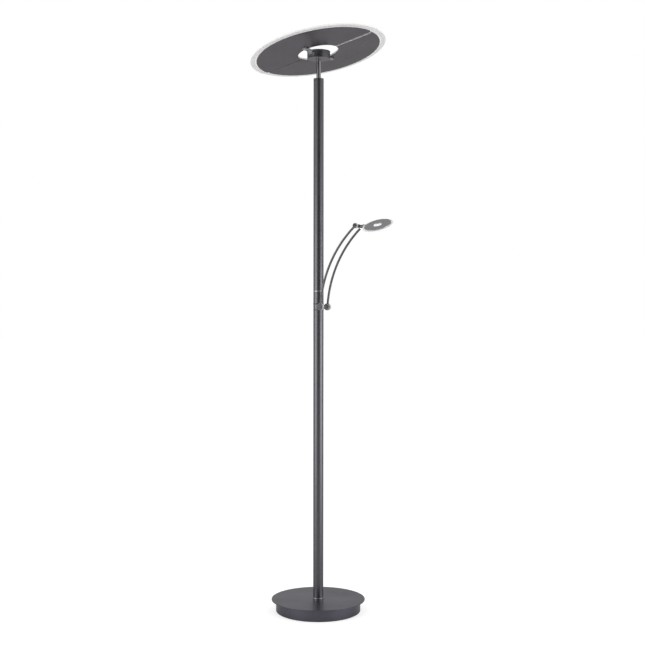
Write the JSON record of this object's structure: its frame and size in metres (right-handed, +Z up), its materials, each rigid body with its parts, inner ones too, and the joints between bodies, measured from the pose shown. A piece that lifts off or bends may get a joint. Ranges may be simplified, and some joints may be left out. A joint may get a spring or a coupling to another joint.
{
  "type": "torchiere floor lamp",
  "caption": "Tall floor uplighter with a round base, slim pole, split tilting ring disc and a small reading lamp on a curved twin-rod arm.",
  "frame": {"origin": "centre of the felt under the base, on the floor and on the pole's axis", "axes": "+Z up along the pole; +X towards the reading arm; the uplight halves tilt about Y"},
  "size_m": [0.4743, 0.43, 1.8017],
  "materials": {
    "felt": "black needle felt",
    "zinc_sheet": "zinc-plated sheet steel",
    "zinc_steel": "zinc-plated steel",
    "cast_iron": "raw cast iron, lightly primed",
    "driver_case": "white moulded plastic",
    "uplight_coat": "satin anthracite coat on aluminium sheet",
    "anthracite": "satin anthracite metallic powder coat",
    "black_rubber": "soft black rubber",
    "chrome": "polished chrome plate",
    "terminal_plastic": "natural polyamide",
    "wire_sheath": "white PVC sheath",
    "rod_finish": "satin gunmetal plate",
    "reading_metal": "satin grey metallic coat",
    "led_board": "white solder mask on an aluminium core",
    "led_chip": "yellow phosphor in a clear encapsulant",
    "diffuser": "translucent frosted acrylic",
    "washer_plastic": "nylon friction washer"
  },
  "bodies": {
    "stand": {"base_felt": "felt", "bottom_cover": "zinc_sheet", "cover_screws": "zinc_steel", "ballast_weight": "cast_iron", "led_driver": "driver_case", "base_drum": "anthracite", "base_plate": "anthracite", "cord_grommet": "black_rubber", "pole_stud": "zinc_steel", "stud_nut": "zinc_steel", "foot_plug": "zinc_steel", "foot_ring": "chrome", "lower_tube": "anthracite", "joint_spindle": "zinc_steel", "lower_collar_ring": "rod_finish", "upper_collar_ring": "rod_finish", "dimmer_ring": "chrome", "spindle_bush": "zinc_steel", "upper_tube": "anthracite", "top_plug": "anthracite", "head_rod": "chrome", "rod_nut": "zinc_steel", "hub_cup": "anthracite", "hub_lid": "anthracite", "terminal_block": "terminal_plastic", "pole_wire": "wire_sheath"},
    "dimmer": {"dimmer_sleeve": "anthracite"},
    "swivel_collar": {"arm_collar": "anthracite"},
    "reading_arm": {"lower_axle": "zinc_steel", "near_lower_disc": "chrome", "far_lower_disc": "chrome", "near_arm_rod": "rod_finish", "far_arm_rod": "rod_finish", "near_upper_disc": "chrome", "far_upper_disc": "chrome", "upper_axle": "zinc_steel"},
    "reading_neck": {"reading_knuckle": "chrome"},
    "reading_head": {"reading_socket": "reading_metal", "reading_plate": "reading_metal", "reading_led_board": "led_board", "reading_leds": "led_chip", "reading_diffuser": "diffuser"},
    "near_uplight": {"near_half_plate": "uplight_coat", "near_half_diffuser": "diffuser", "near_led_board": "led_board", "near_leds": "led_chip", "near_yoke_arm": "rod_finish", "near_yoke_screws": "zinc_steel", "near_pivot_pin": "zinc_steel", "near_pivot_nut": "zinc_steel", "near_pin_washers": "washer_plastic"},
    "far_uplight": {"far_half_plate": "uplight_coat", "far_half_diffuser": "diffuser", "far_led_board": "led_board", "far_leds": "led_chip", "far_yoke_arm": "rod_finish", "far_yoke_screws": "zinc_steel", "far_pivot_pin": "zinc_steel", "far_pivot_nut": "zinc_steel", "far_pin_washers": "washer_plastic"}
  },
  "joints": [
    {"name": "near_uplight_tilt", "type": "hinge", "parent": "stand", "child": "near_uplight", "pos_m": [0, 0, 1.7435], "axis": [0, 1, 0], "range_deg": [-18, 42]},
    {"name": "far_uplight_tilt", "type": "hinge", "parent": "stand", "child": "far_uplight", "pos_m": [0, 0, 1.7435], "axis": [0, 1, 0], "range_deg": [-18.5, 41.5]},
    {"name": "dimmer_turn", "type": "hinge", "parent": "stand", "child": "dimmer", "pos_m": [0, 0, 0.98275], "axis": [0, 0, 1], "range_deg": [0, 270]},
    {"name": "arm_swivel", "type": "hinge", "parent": "stand", "child": "swivel_collar", "pos_m": [0, 0, 0.95375], "axis": [0, 0, 1], "range_deg": [-160, 160]},
    {"name": "arm_tilt", "type": "hinge", "parent": "swivel_collar", "child": "reading_arm", "pos_m": [0.0205, 0, 0.95375], "axis": [0, 1, 0], "range_deg": [-18, 55]},
    {"name": "reading_head_tilt", "type": "hinge", "parent": "reading_arm", "child": "reading_neck", "pos_m": [0.1455, 0, 1.201], "axis": [0, 1, 0], "range_deg": [-50, 60]},
    {"name": "reading_head_roll", "type": "hinge", "parent": "reading_neck", "child": "reading_head", "pos_m": [0.163, 0, 1.201], "axis": [1, 0, 0], "range_deg": [-118, 62]}
  ]
}
